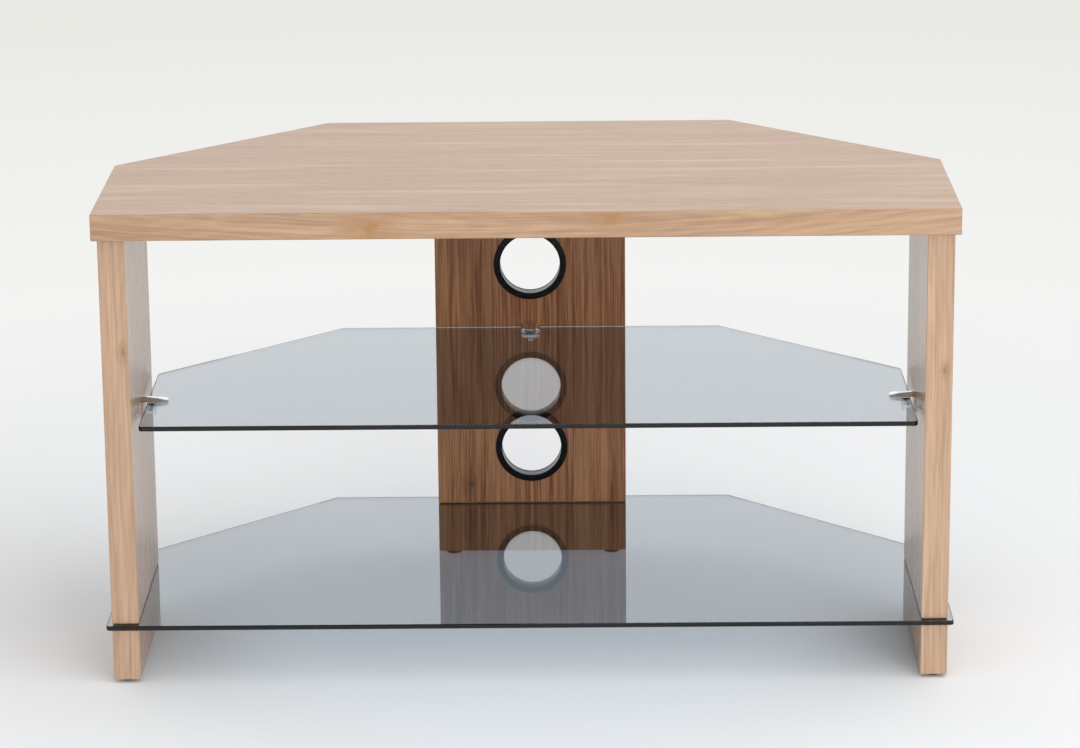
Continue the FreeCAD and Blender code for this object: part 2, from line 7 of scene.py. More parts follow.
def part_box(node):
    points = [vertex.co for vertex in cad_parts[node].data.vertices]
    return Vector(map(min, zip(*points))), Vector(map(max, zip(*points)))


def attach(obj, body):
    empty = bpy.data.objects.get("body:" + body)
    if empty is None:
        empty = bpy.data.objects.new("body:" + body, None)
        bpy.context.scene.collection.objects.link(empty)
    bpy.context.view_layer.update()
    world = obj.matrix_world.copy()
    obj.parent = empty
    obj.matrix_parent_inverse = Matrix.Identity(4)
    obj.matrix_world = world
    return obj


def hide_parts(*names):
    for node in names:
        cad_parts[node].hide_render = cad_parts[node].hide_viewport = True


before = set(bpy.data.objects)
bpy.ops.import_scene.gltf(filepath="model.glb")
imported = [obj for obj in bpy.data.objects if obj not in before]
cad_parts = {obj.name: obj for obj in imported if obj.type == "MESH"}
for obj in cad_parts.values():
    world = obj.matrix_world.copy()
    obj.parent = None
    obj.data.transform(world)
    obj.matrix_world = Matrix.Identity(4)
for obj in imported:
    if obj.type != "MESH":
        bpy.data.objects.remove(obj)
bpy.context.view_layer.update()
mm = 0.001
print("frame loaded:", len(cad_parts), "nodes")


# small helpers for node trees

def nodeMaker(tree):
    def make(kind, values=None, **settings):
        node = tree.nodes.new("ShaderNode" + kind)
        for key, value in settings.items():
            setattr(node, key, value)
        for key, value in (values or {}).items():
            if isinstance(value, bpy.types.NodeSocket):
                tree.links.new(value, node.inputs[key])
            else:
                node.inputs[key].default_value = value
        return node
    return make


def calc(make, operation, first, second=0.0):
    return make("Math", {0: first, 1: second}, operation=operation).outputs[0]


def add(make, first, *others):
    total = first
    for value in others:
        total = calc(make, "ADD", total, value)
    return total


def times(make, first, second):
    return calc(make, "MULTIPLY", first, second)


def swing(make, pattern, amount):      # a pattern from 0 to 1 becomes one that swings round zero
    return times(make, calc(make, "SUBTRACT", pattern, 0.5), amount)


def ramp(make, value, start, end, low=0.0, high=1.0, curve="LINEAR"):
    values = {"Value": value, "From Min": start, "From Max": end, "To Min": low, "To Max": high}
    return make("MapRange", values, interpolation_type=curve).outputs["Result"]


def vectorCalc(make, operation, first, second=(0, 0, 0), output="Vector"):
    return make("VectorMath", {0: first, 1: second}, operation=operation).outputs[output]


def stretch(make, place, sizes):      # scale a place in space, so a pattern gets longer or finer
    return vectorCalc(make, "MULTIPLY", place, sizes)


def lengthOf(make, place):
    return vectorCalc(make, "LENGTH", place, output="Value")


def axisPart(make, place, axis):
    return make("SeparateXYZ", {0: place}).outputs[axis]


def objectSpot(make):
    return make("TexCoord").outputs["Object"]


def noise(make, place, scale=1.0, detail=2.0, roughness=0.5):
    values = {"Vector": place, "Scale": scale, "Detail": detail, "Roughness": roughness}
    return make("TexNoise", values).outputs["Fac"]


def blendColours(make, factor, low, high, kind="MIX"):      # Mix has its colours at sockets 6 and 7
    return make("Mix", {0: factor, 6: low, 7: high}, data_type="RGBA", blend_type=kind).outputs[2]


def blendVectors(make, factor, low, high):                  # and its vectors at 4 and 5
    return make("Mix", {0: factor, 4: low, 5: high}, data_type="VECTOR").outputs[1]


def mixShaders(make, share, first, second):
    return make("MixShader", {0: share, 1: first, 2: second}).outputs[0]


def newGroup(name, inputs, outputs):
    group = bpy.data.node_groups.new(name, "ShaderNodeTree")
    sockets = group.interface
    for socketName, kind, value in inputs:
        socket = sockets.new_socket(socketName, in_out="INPUT", socket_type="NodeSocket" + kind)
        socket.default_value = value
    for socketName, kind in outputs:
        sockets.new_socket(socketName, in_out="OUTPUT", socket_type="NodeSocket" + kind)
    start = group.nodes.new("NodeGroupInput")
    end = group.nodes.new("NodeGroupOutput")
    return group, nodeMaker(group), start.outputs, end.inputs


def putOut(group, end, values):
    for name, value in values.items():
        group.links.new(value, end[name])


def useGroup(make, group, values):
    return make("Group", values, node_tree=group).outputs


def newMaterial(name, **shader):
    material = bpy.data.materials.new(name)
    material.use_nodes = True
    surface = material.node_tree.nodes["Principled BSDF"]
    for key, value in shader.items():
        surface.inputs[key.replace("_", " ")].default_value = value
    return material, nodeMaker(material.node_tree), surface


def plug(node, socket, output):
    node.id_data.links.new(output, node.inputs[socket])


# shared effects

faceLevel = {"lying": 0.6, "edge": 0.5}       # how level a lying face is at least, and an edge at most
stripGrain = {"bow": 0.09, "lift": 0.08}      # lines on an edge strip bend up towards its ends


def levelShare(make):      # 1 on a lying face, 0 on an upright one
    return calc(make, "ABSOLUTE", axisPart(make, make("NewGeometry").outputs["Normal"], "Z"))


def edgeMask(make):
    return calc(make, "LESS_THAN", levelShare(make), faceLevel["edge"])


def makeGrainPlace():
    # turns a point on a board into (along the grain, across it, into the board)
    group, make, start, end = newGroup(
        "grainPlace", [("Standing", "Float", 0.0)], [("Place", "Vector")])
    spot = objectSpot(make)
    normal = make("NewGeometry").outputs["Normal"]
    side = vectorCalc(make, "NORMALIZE", vectorCalc(make, "CROSS_PRODUCT", (0, 0, 1), normal))
    along = vectorCalc(make, "DOT_PRODUCT", spot, side, "Value")
    deep = vectorCalc(make, "DOT_PRODUCT", spot, normal, "Value")
    height = axisPart(make, spot, "Z")
    bow = times(make, times(make, along, along), -stripGrain["bow"])
    climb = add(make, height, bow, stripGrain["lift"])
    edge = make("CombineXYZ", {0: along, 1: climb, 2: deep}).outputs[0]        # edge of a flat board
    upright = make("CombineXYZ", {0: height, 1: along, 2: deep}).outputs[0]    # face of a standing one
    onSide = blendVectors(make, start["Standing"], edge, upright)
    lying = calc(make, "GREATER_THAN", levelShare(make), faceLevel["lying"])
    putOut(group, end, {"Place": blendVectors(make, lying, onSide, spot)})
    return group


# how fine each layer of the veneer is along and across the grain, and how strong
figureLayers = {
    "sway": {"along": 1.6, "across": 6.0, "detail": 2.0, "amount": 0.045},
    "ripple": {"along": 7.0, "across": 20.0, "detail": 2.0, "amount": 0.014},
    "ring": {"along": 5.0, "across": 22.0, "detail": 3.0, "amount": 0.16},
    "broad": {"along": 0.9, "across": 15.0, "detail": 2.0, "amount": 0.75},
    "growth": {"along": 4.2, "across": 140.0, "detail": 4.0, "roughness": 0.66, "amount": 1.05},
    "fine": {"along": 7.0, "across": 330.0, "detail": 1.0, "amount": 1.3},
    "fibre": {"along": 9.0, "across": 620.0, "detail": 2.0, "amount": 0.9},
    "streak": {"along": 2.8, "across": 42.0, "detail": 3.0},
    "dashes": {"along": 38.0, "across": 1500.0, "detail": 1.0},
}
figureLook = {
    "leafWidth": 0.19, "leafShift": 0.37, "tipRound": 0.00005, "archLength": 6.5, "archPace": 95.0,
    "archShare": 0.4, "middleTone": 0.5, "fibreHeight": 0.35,
    "streakRange": (0.54, 0.70), "poreRange": (0.60, 0.70), "earlyRange": (0.40, 0.62),
}


def makeOakFigure():
    # oak veneer: nested arches in each leaf, growth lines, fibres and short pores
    look = figureLook
    group, make, start, end = newGroup(
        "oakFigure",
        [("Place", "Vector", (0, 0, 0)), ("Seed", "Float", 0.0), ("Arches", "Float", 0.35),
         ("Lines", "Float", 1.0), ("Wave", "Float", 1.0)],
        [("Tone", "Float"), ("Streak", "Float"), ("Pores", "Float"), ("Height", "Float")])

    def pattern(name, place):
        layer = figureLayers[name]
        place = stretch(make, place, (layer["along"], layer["across"], layer["across"]))
        return noise(make, place, detail=layer["detail"], roughness=layer.get("roughness", 0.5))

    def swung(name, value):
        return swing(make, value, figureLayers[name]["amount"])

    shift = make("CombineXYZ", {0: start["Seed"], 1: 0.0, 2: start["Seed"]}).outputs[0]
    place = vectorCalc(make, "ADD", start["Place"], shift)
    wander = add(make, swung("sway", pattern("sway", place)),
                 swung("ripple", pattern("ripple", place)))
    along, across, deep = make("SeparateXYZ", {0: place}).outputs
    across = add(make, across, times(make, wander, start["Wave"]))
    swayed = make("CombineXYZ", {0: along, 1: across, 2: deep}).outputs[0]

    # arches: rings of a tree cut flat, which make long pointed curves in the middle of each leaf
    leaf = calc(make, "FLOOR", calc(make, "DIVIDE", across, look["leafWidth"]))
    middle = times(make, add(make, leaf, 0.5), look["leafWidth"])
    off = calc(make, "SUBTRACT", across, middle)
    reach = calc(make, "SQRT", add(make, times(make, off, off), look["tipRound"]))
    ring = add(make, along, times(make, leaf, look["leafShift"]),
               times(make, reach, look["archLength"]),
               times(make, pattern("ring", swayed), figureLayers["ring"]["amount"]))
    arches = calc(make, "SINE", times(make, ring, look["archPace"]))
    arches = times(make, arches, start["Arches"])

    growth = pattern("growth", swayed)
    fibre = pattern("fibre", swayed)
    lines = add(make, swung("growth", growth), swung("fine", pattern("fine", swayed)))
    tone = add(make, swung("broad", pattern("broad", swayed)),
               times(make, lines, start["Lines"]),
               times(make, swung("fibre", fibre), start["Lines"]),
               times(make, arches, look["archShare"]), look["middleTone"])
    streak = ramp(make, pattern("streak", swayed), *look["streakRange"])
    pores = ramp(make, pattern("dashes", swayed), *look["poreRange"])
    pores = times(make, pores, ramp(make, growth, *look["earlyRange"]))      # only in the early wood
    height = calc(make, "SUBTRACT", times(make, fibre, look["fibreHeight"]), pores)
    putOut(group, end, {"Tone": tone, "Streak": streak, "Pores": pores, "Height": height})
    return group


knotLook = {
    "shape": (0.55, 1.0, 0.3), "wobble": 2.4, "wobbleSizes": (70.0, 130.0, 70.0), "wobbleDetail": 3.0,
    "coreRange": (1.0, 0.35), "haloRange": (3.6, 0.8),
}


def makeKnot():
    # a small round knot with a soft halo, at a place given in the board's grain space
    look = knotLook
    group, make, start, end = newGroup(
        "knot",
        [("Place", "Vector", (0, 0, 0)), ("Centre", "Vector", (0, 0, 0)), ("Size", "Float", 0.006)],
        [("Core", "Float"), ("Halo", "Float")])
    away = vectorCalc(make, "SUBTRACT", start["Place"], start["Centre"])
    away = lengthOf(make, stretch(make, away, look["shape"]))
    away = calc(make, "DIVIDE", away, start["Size"])
    wobble = stretch(make, start["Place"], look["wobbleSizes"])
    wobble = noise(make, wobble, detail=look["wobbleDetail"])
    away = add(make, away, swing(make, wobble, look["wobble"]))
    core = ramp(make, away, *look["coreRange"])
    halo = ramp(make, away, *look["haloRange"], curve="SMOOTHSTEP")
    putOut(group, end, {"Core": core, "Halo": halo})
    return group


handlingLook = {"detail": 4.0, "roughness": 0.6, "range": (0.35, 0.65)}


def makeHandling():
    # faint cloudy marks that vary the gloss of a smooth surface
    look = handlingLook
    group, make, start, end = newGroup(
        "handling", [("Scale", "Float", 20.0), ("Low", "Float", 0.1), ("High", "Float", 0.2)],
        [("Gloss", "Float")])
    cloud = noise(make, objectSpot(make), start["Scale"], look["detail"], look["roughness"])
    gloss = ramp(make, cloud, *look["range"], low=start["Low"], high=start["High"])
    putOut(group, end, {"Gloss": gloss})
    return group


grainPlace = makeGrainPlace()
oakFigure = makeOakFigure()
knotGroup = makeKnot()
handling = makeHandling()
print("shared effects ready")


# materials

oakLook = {
    "light": (0.630, 0.420, 0.284, 1), "dark": (0.430, 0.264, 0.163, 1),
    "pore": (0.30, 0.17, 0.095, 1), "streak": (0.665, 0.472, 0.285, 1), "knot": (0.34, 0.185, 0.095, 1),
    "poreDepth": 0.40, "streakShare": 0.5, "haloShare": 0.38, "coreShare": 0.75,
    "arches": 0.14, "lines": 1.05, "wave": 0.40,
    "roughness": 0.24, "poreGloss": 0.22, "relief": 0.25, "reliefDepth": 0.15 * mm,
}
# strip is painted light, a small lift in colour on the top board's upright edge faces
topLook = dict(
    oakLook, light=(0.540, 0.344, 0.218, 1), dark=(0.380, 0.228, 0.134, 1),
    knot=(0.40, 0.205, 0.075, 1), strip=(1.06, 1.06, 1.07, 1), roughness=0.30, arches=0.26, wave=0.60)
# the column's oak is darker and redder than the legs' oak, with painted shade for the dim space under the
# top in its colours
shadedColumnLook = dict(
    oakLook, light=(0.562, 0.270, 0.132, 1), dark=(0.228, 0.088, 0.037, 1),
    pore=(0.12, 0.048, 0.022, 1), streak=(0.620, 0.330, 0.165, 1), knot=(0.12, 0.05, 0.025, 1),
    poreDepth=0.55, roughness=0.36, lines=1.5, wave=0.50)


def oakMaterial(name, look, standing, seed, knots):
    material, make, surface = newMaterial(name, Roughness=look["roughness"])
    place = useGroup(make, grainPlace, {"Standing": standing})["Place"]
    figure = useGroup(make, oakFigure, {"Place": place, "Seed": seed, "Arches": look["arches"],
                                        "Lines": look["lines"], "Wave": look["wave"]})

    def tinted(colour, mask, share, tint):
        return blendColours(make, times(make, mask, look[share]), colour, look[tint])
    colour = blendColours(make, figure["Tone"], look["light"], look["dark"])
    colour = tinted(colour, figure["Streak"], "streakShare", "streak")
    colour = tinted(colour, figure["Pores"], "poreDepth", "pore")
    for centre, size in knots:
        knot = useGroup(make, knotGroup, {"Place": place, "Centre": centre, "Size": size})
        colour = tinted(colour, knot["Halo"], "haloShare", "knot")
        colour = tinted(colour, knot["Core"], "coreShare", "knot")
    if "strip" in look:      # painted light: the upright edge faces are made a little lighter than the lying face
        colour = blendColours(make, edgeMask(make), colour, look["strip"], "MULTIPLY")
    plug(surface, "Base Color", colour)
    gloss = add(make, times(make, figure["Pores"], look["poreGloss"]), look["roughness"])
    plug(surface, "Roughness", gloss)
    relief = make("Bump", {"Height": figure["Height"], "Strength": look["relief"],
                           "Distance": look["reliefDepth"]})
    plug(surface, "Normal", relief.outputs["Normal"])
    return material


def cloudyGloss(make, surface, scale, low, high):
    gloss = useGroup(make, handling, {"Scale": scale, "Low": low, "High": high})["Gloss"]
    plug(surface, "Roughness", gloss)


glassLook = {
    "tint": (0.446, 0.483, 0.514, 1), "edge": (0.006, 0.013, 0.040, 1),
    "shadow": (0.97, 0.985, 1.0, 1), "rimShadow": (0.40, 0.45, 0.52, 1),
    "ior": 1.5, "markScale": 9.0, "low": 0.0, "high": 0.012,
}


def glassMaterial():
    look = glassLook
    material, make, surface = newMaterial(
        "greyGlass", Transmission_Weight=1.0, IOR=look["ior"], Metallic=0.0)
    rim = edgeMask(make)      # polished edges show the deep tint
    plug(surface, "Base Color", blendColours(make, rim, look["tint"], look["edge"]))
    cloudyGloss(make, surface, look["markScale"], look["low"], look["high"])
    # the shelf lets a tinted part of the lamps' light through to the floor
    veil = blendColours(make, rim, look["shadow"], look["rimShadow"])
    clear = make("BsdfTransparent", {"Color": veil}).outputs[0]
    shadow = make("LightPath").outputs["Is Shadow Ray"]
    both = mixShaders(make, shadow, surface.outputs[0], clear)
    plug(material.node_tree.nodes["Material Output"], "Surface", both)
    return material


def darker(colour, share):
    return tuple(part * share for part in colour[:3]) + (1,)


plainLook = {"cloudPerMark": 4, "cloudDetail": 5.0}


def plainMaterial(name, colour, low, high, metallic=0.0, speckle=0.12, scale=60.0):
    # one finish with cloudy gloss and a slight change of colour
    material, make, surface = newMaterial(name, Metallic=metallic)
    cloud = noise(make, objectSpot(make), scale * plainLook["cloudPerMark"], plainLook["cloudDetail"])
    plug(surface, "Base Color", blendColours(make, cloud, darker(colour, 1 - speckle), colour))
    cloudyGloss(make, surface, scale, low, high)
    return material


mouldedLook = {
    "grainScale": 2600.0, "grainDetail": 2.0, "pit": 0.7, "relief": 0.2, "reliefDepth": 0.05 * mm,
    "markScale": 70.0, "spread": 0.06,
}


def grainedMaterial(name, colour, roughness, shine=0.5):
    # moulded plastic with a fine spark-eroded grain
    look = mouldedLook
    material, make, surface = newMaterial(name, Specular_IOR_Level=shine)
    grain = noise(make, objectSpot(make), look["grainScale"], look["grainDetail"])
    plug(surface, "Base Color", blendColours(make, grain, darker(colour, look["pit"]), colour))
    cloudyGloss(make, surface, look["markScale"], roughness - look["spread"], roughness + look["spread"])
    relief = make("Bump", {"Height": grain, "Strength": look["relief"], "Distance": look["reliefDepth"]})
    plug(surface, "Normal", relief.outputs["Normal"])
    return material


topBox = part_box("top_panel")
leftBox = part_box("left_side_panel")
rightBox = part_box("right_side_panel")
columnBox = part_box("back_column")

# the column's caps share its darker colour, painted shade included
capLook = {
    "legs": (0.530, 0.342, 0.224, 1), "column": (0.384, 0.172, 0.082, 1),
    "markScale": 60.0, "low": 0.22, "high": 0.28,
}


def capMaterial():
    # cover caps match the board they sit in
    look = capLook
    material, make, surface = newMaterial("coverCaps")
    depth = axisPart(make, objectSpot(make), "Y")
    onColumn = calc(make, "GREATER_THAN", depth, columnBox[0].y)
    plug(surface, "Base Color", blendColours(make, onColumn, look["legs"], look["column"]))
    cloudyGloss(make, surface, look["markScale"], look["low"], look["high"])
    return material


def edgeSpot(along, up):      # a place on the front edge in the grain space of its strip
    level = (topBox[0].z + topBox[1].z) / 2 + up
    return (along, level - stripGrain["bow"] * along * along + stripGrain["lift"], -topBox[0].y)


# each knot has a place in its board's grain space and a size
frontKnots = [(edgeSpot(-0.187, -0.002), 0.0090), (edgeSpot(0.100, 0.006), 0.0065)]
leftKnots = [((0.425, leftBox[1].x - 0.006, -leftBox[0].y), 0.0035)]
rightKnots = [((0.396, rightBox[0].x + 0.024, -rightBox[0].y), 0.0030)]
columnKnots = [((0.1045, -0.083, -columnBox[0].y), 0.0045)]

oakTop = oakMaterial("oakTop", topLook, standing=0.0, seed=3.0, knots=frontKnots)
oakLeft = oakMaterial("oakLeft", oakLook, standing=1.0, seed=11.3, knots=leftKnots)
oakRight = oakMaterial("oakRight", oakLook, standing=1.0, seed=17.9, knots=rightKnots)
shadedColumnOak = oakMaterial("shadedColumnOak", shadedColumnLook, standing=1.0, seed=24.7, knots=columnKnots)
coverCaps = capMaterial()
greyGlass = glassMaterial()
chrome = plainMaterial(
    "chrome", (0.78, 0.79, 0.82, 1), low=0.02, high=0.06, metallic=1.0, speckle=0.03)
ringBlack = grainedMaterial("ringBlack", (0.008, 0.008, 0.010, 1), roughness=0.22, shine=0.22)
footBlack = grainedMaterial("footBlack", (0.008, 0.008, 0.009, 1), roughness=0.45, shine=0.3)
softBlack = grainedMaterial("softBlack", (0.020, 0.019, 0.019, 1), roughness=0.60)
# painted shade: the gaskets are drawn in the brown of shaded wood in the gap between board and glass
gapShadeBrown = grainedMaterial("gapShadeBrown", (0.290, 0.180, 0.108, 1), roughness=0.60)
zincSteel = plainMaterial("zincSteel", (0.62, 0.62, 0.60, 1), low=0.28, high=0.40, metallic=1.0)
nylonWhite = grainedMaterial("nylonWhite", (0.76, 0.76, 0.73, 1), roughness=0.45)
beech = plainMaterial("beech", (0.62, 0.42, 0.26, 1), low=0.55, high=0.65, speckle=0.3, scale=90.0)

finishes = {
    "top_panel": oakTop, "back_column": shadedColumnOak, "column_lower_block": shadedColumnOak,
    "left_side_panel": oakLeft, "left_lower_block": oakLeft,
    "right_side_panel": oakRight, "right_lower_block": oakRight,
    "cam_covers": coverCaps, "glass_bushes": nylonWhite, "top_dowels": beech,
}
endings = {
    "_shelf": greyGlass, "_gasket": gapShadeBrown, "_pad": softBlack, "_cable_ring": ringBlack,
    "_foot": footBlack, "_clip_body": chrome, "_clamp_screw": chrome,
}
for name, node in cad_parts.items():
    finish = finishes.get(name, zincSteel)
    for ending, choice in endings.items():
        if name.endswith(ending):
            finish = choice
    node.data.materials.clear()
    node.data.materials.append(finish)
print("materials on", len(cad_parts), "nodes")


# pieces modelled over their CAD nodes

slack = 0.02 * mm      # places closer than this count as the same
merge = 0.002 * mm     # points closer than this become one
facing = 0.9           # share of a normal from which a face points along an axis


def deselectAll():
    bpy.ops.object.select_all(action="DESELECT")


def editPiece():      # fix the new primitive where it is and open it for editing
    piece = bpy.context.object
    bpy.ops.object.transform_apply(location=True, rotation=True, scale=True)
    bpy.ops.object.mode_set(mode="EDIT")
    return piece


def closePiece():
    outwards()
    bpy.ops.object.mode_set(mode="OBJECT")


def every(item):
    return True


def pick(kind, test):      # choose vertices, edges or faces of the piece in edit mode
    bpy.ops.mesh.select_mode(type=kind)
    bpy.ops.mesh.select_all(action="DESELECT")
    mesh = bpy.context.object.data
    shape = bmesh.from_edit_mesh(mesh)
    for item in {"VERT": shape.verts, "EDGE": shape.edges, "FACE": shape.faces}[kind]:
        if test(item):
            item.select_set(True)
    bmesh.update_edit_mesh(mesh)


def extrude(move):
    bpy.ops.mesh.extrude_region_move(TRANSFORM_OT_translate={"value": move})


def roundOff(width, segments, affect="EDGES", clamp=False):
    bpy.ops.mesh.bevel(offset=width, segments=segments, profile=0.5, affect=affect, clamp_overlap=clamp)


def near(value, target):
    return abs(value - target) < slack


def edgeEnds(edge, test):
    return all(test(vertex.co) for vertex in edge.verts)


def outwards():
    bpy.ops.mesh.select_all(action="SELECT")
    bpy.ops.mesh.remove_doubles(threshold=merge)
    bpy.ops.mesh.normals_make_consistent(inside=False)


def carve(piece, cutter):      # cut one shape out of another and throw the cutter away
    cut = piece.modifiers.new("cut", "BOOLEAN")
    cut.operation = "DIFFERENCE"
    cut.solver = "EXACT"
    cut.object = cutter
    bpy.context.view_layer.objects.active = piece
    bpy.ops.object.modifier_apply(modifier=cut.name)
    bpy.data.objects.remove(cutter)


def soften(piece, width, segments, angle):
    edges = piece.modifiers.new("soften", "BEVEL")
    edges.width = width
    edges.segments = segments
    edges.limit_method = "ANGLE"
    edges.angle_limit = radians(angle)
    bpy.context.view_layer.objects.active = piece
    bpy.ops.object.modifier_apply(modifier=edges.name)


def smooth(piece, angle):
    deselectAll()
    piece.select_set(True)
    bpy.context.view_layer.objects.active = piece
    bpy.ops.object.shade_smooth_by_angle(angle=radians(angle))


def settle(master, name, matrix, node, material):
    # a copy with its own mesh, in its node's place
    piece = bpy.data.objects.new(name, master.data.copy())
    bpy.context.scene.collection.objects.link(piece)
    piece.data.transform(matrix)
    piece.data.materials.clear()
    piece.data.materials.append(material)
    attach(piece, "root")
    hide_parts(node)


clipLook = {
    "halfWidth": 13 * mm, "reach": 33 * mm, "web": 5 * mm, "spare": 20 * mm, "noseSides": 72,
    "jawUnder": 3.8 * mm, "jawTop": 9.8 * mm, "noseTop": 6.2 * mm, "shoulder": 11 * mm,
    "crownRound": 1.4 * mm, "crownSegments": 6, "rim": 2.0 * mm, "rimRound": 0.5 * mm, "rimSegments": 4,
    "armTop": -10 * mm, "armBottom": -14.5 * mm, "armReach": 18 * mm, "armCorner": 6 * mm,
    "cornerSegments": 9, "screwPlace": 12 * mm, "screwHole": 2.6 * mm, "screwSides": 40,
    "screwCut": 12 * mm, "fixingLevel": -6.5 * mm, "fixingHole": 1.85 * mm, "fixingHead": 3.2 * mm,
    "headDepth": 2 * mm, "fixingSides": 32, "edge": 0.4 * mm, "edgeSegments": 3, "edgeAngle": 42,
    "shadeAngle": 38,
}


def modelClip():
    # half-moon jaw over the glass, a web against the wood and an arm below; +X points off the wood
    look = clipLook
    noseMiddle = look["reach"] - look["halfWidth"]
    rimTop = look["jawUnder"] + look["rim"]
    deselectAll()
    bpy.ops.mesh.primitive_circle_add(vertices=look["noseSides"], radius=look["halfWidth"],
                                      fill_type="NGON", location=(noseMiddle, 0, look["jawUnder"]))
    clip = editPiece()
    pick("VERT", lambda vertex: vertex.co.x < noseMiddle - slack)
    bpy.ops.transform.resize(value=(0, 1, 1), center_override=(-look["spare"], 0, 0))      # straight end
    pick("FACE", every)
    extrude((0, 0, look["rim"]))
    outwards()
    pick("FACE", lambda face: face.normal.z > facing and near(face.calc_center_median().z, rimTop))
    bpy.ops.mesh.inset(thickness=look["shoulder"], depth=0)
    shape = bmesh.from_edit_mesh(clip.data)
    slope = (look["jawTop"] - look["noseTop"]) / look["reach"]
    for face in shape.faces:
        if face.select:
            for vertex in face.verts:      # the crown falls to the nose
                vertex.co.z = look["jawTop"] - slope * vertex.co.x
    bmesh.update_edit_mesh(clip.data)
    pick("EDGE", lambda edge: edgeEnds(edge, lambda co: co.z > rimTop + slack))
    roundOff(look["crownRound"], look["crownSegments"], clamp=True)
    pick("EDGE", lambda edge: edgeEnds(edge, lambda co: near(co.z, rimTop)))
    roundOff(look["rimRound"], look["rimSegments"], clamp=True)
    bpy.ops.mesh.select_all(action="SELECT")
    bpy.ops.mesh.bisect(plane_co=(0, 0, 0), plane_no=(1, 0, 0), use_fill=True,
                        clear_inner=True)      # flat back
    outwards()
    bpy.ops.mesh.select_all(action="SELECT")
    bpy.ops.mesh.bisect(plane_co=(look["web"], 0, 0), plane_no=(1, 0, 0))
    outwards()
    pick("FACE", lambda face: face.normal.z < -facing and face.calc_center_median().x < look["web"])
    extrude((0, 0, look["armTop"] - look["jawUnder"]))
    extrude((0, 0, look["armBottom"] - look["armTop"]))
    outwards()
    pick("FACE", lambda face: face.normal.x > facing and near(face.calc_center_median().x, look["web"])
         and face.calc_center_median().z < look["armTop"])
    extrude((look["armReach"] - look["web"], 0, 0))
    pick("EDGE", lambda edge: edgeEnds(edge, lambda co: near(co.x, look["armReach"]))
         and near(edge.verts[0].co.y, edge.verts[1].co.y)
         and near(abs(edge.verts[0].co.y), look["halfWidth"]))
    roundOff(look["armCorner"], look["cornerSegments"], clamp=True)
    closePiece()
    armMiddle = (look["armTop"] + look["armBottom"]) / 2
    bpy.ops.mesh.primitive_cylinder_add(vertices=look["screwSides"], radius=look["screwHole"],
                                        depth=look["screwCut"], location=(look["screwPlace"], 0, armMiddle))
    carve(clip, bpy.context.object)
    for radius, depth, middle in ((look["fixingHole"], 3 * look["web"], look["web"] / 2),
                                  (look["fixingHead"], 2 * look["headDepth"], look["web"])):
        bpy.ops.mesh.primitive_cylinder_add(vertices=look["fixingSides"], radius=radius, depth=depth,
                                            rotation=(0, pi / 2, 0),
                                            location=(middle, 0, look["fixingLevel"]))
        carve(clip, bpy.context.object)
    soften(clip, look["edge"], look["edgeSegments"], look["edgeAngle"])
    smooth(clip, look["shadeAngle"])
    return clip


screwLook = {
    "knobRadius": 4.5 * mm, "knobBottom": -19 * mm, "knobTop": -16 * mm, "knobSides": 48,
    "grooveDepth": 0.28 * mm, "grooveEdge": 0.07 * mm, "shankRadius": 2.5 * mm, "tip": -5 * mm,
    "threads": 13, "threadWaist": 0.86, "slotWidth": 1.2 * mm, "slotDepth": 1.1 * mm, "shadeAngle": 35,
}


def modelClampScrew():
    # knurled thumb knob with a slot, and a threaded shank up to the pad under the glass
    look = screwLook
    place = clipLook["screwPlace"]
    tall = look["knobTop"] - look["knobBottom"]
    deselectAll()
    bpy.ops.mesh.primitive_cylinder_add(vertices=look["knobSides"], radius=look["knobRadius"], depth=tall,
                                        location=(place, 0, look["knobBottom"] + tall / 2))
    screw = editPiece()
    outwards()

    def groove(face):      # every other side of the knob
        middle = face.calc_center_median()
        turn = atan2(middle.y, middle.x - place) / (2 * pi) * look["knobSides"]
        return abs(face.normal.z) < 1 - facing and floor(turn) % 2 == 0
    pick("FACE", groove)
    bpy.ops.mesh.inset(thickness=look["grooveEdge"], depth=-look["grooveDepth"], use_individual=True)
    pick("FACE", lambda face: face.normal.z > facing
         and near(face.calc_center_median().z, look["knobTop"]))
    bpy.ops.mesh.inset(thickness=look["knobRadius"] - look["shankRadius"], depth=0)
    step = (look["tip"] - look["knobTop"]) / (2 * look["threads"])
    for turn in range(look["threads"]):
        level = look["knobTop"] + 2 * turn * step
        extrude((0, 0, step))
        bpy.ops.transform.resize(value=(look["threadWaist"],) * 2 + (1,),
                                 center_override=(place, 0, level + step))
        extrude((0, 0, step))
        bpy.ops.transform.resize(value=(1 / look["threadWaist"],) * 2 + (1,),
                                 center_override=(place, 0, level + 2 * step))
    closePiece()
    bpy.ops.mesh.primitive_cube_add(size=1, location=(place, 0, look["knobBottom"]))
    blade = bpy.context.object
    blade.scale = (look["slotWidth"], 3 * look["knobRadius"], 2 * look["slotDepth"])
    carve(screw, blade)
    smooth(screw, look["shadeAngle"])
    return screw


ringLook = {
    "bore": 40 * mm, "sleeve": 42 * mm, "flange": 48.5 * mm,
    "front": 233 * mm, "face": 235.5 * mm, "back": 255.5 * mm,
    "round": 1.0 * mm, "roundSegments": 6, "backRound": 0.4 * mm, "backSegments": 3,
    "step": 0.5 * mm, "stepFrom": 0.4, "boreCuts": 9, "turnSteps": 144, "shadeAngle": 30,
}


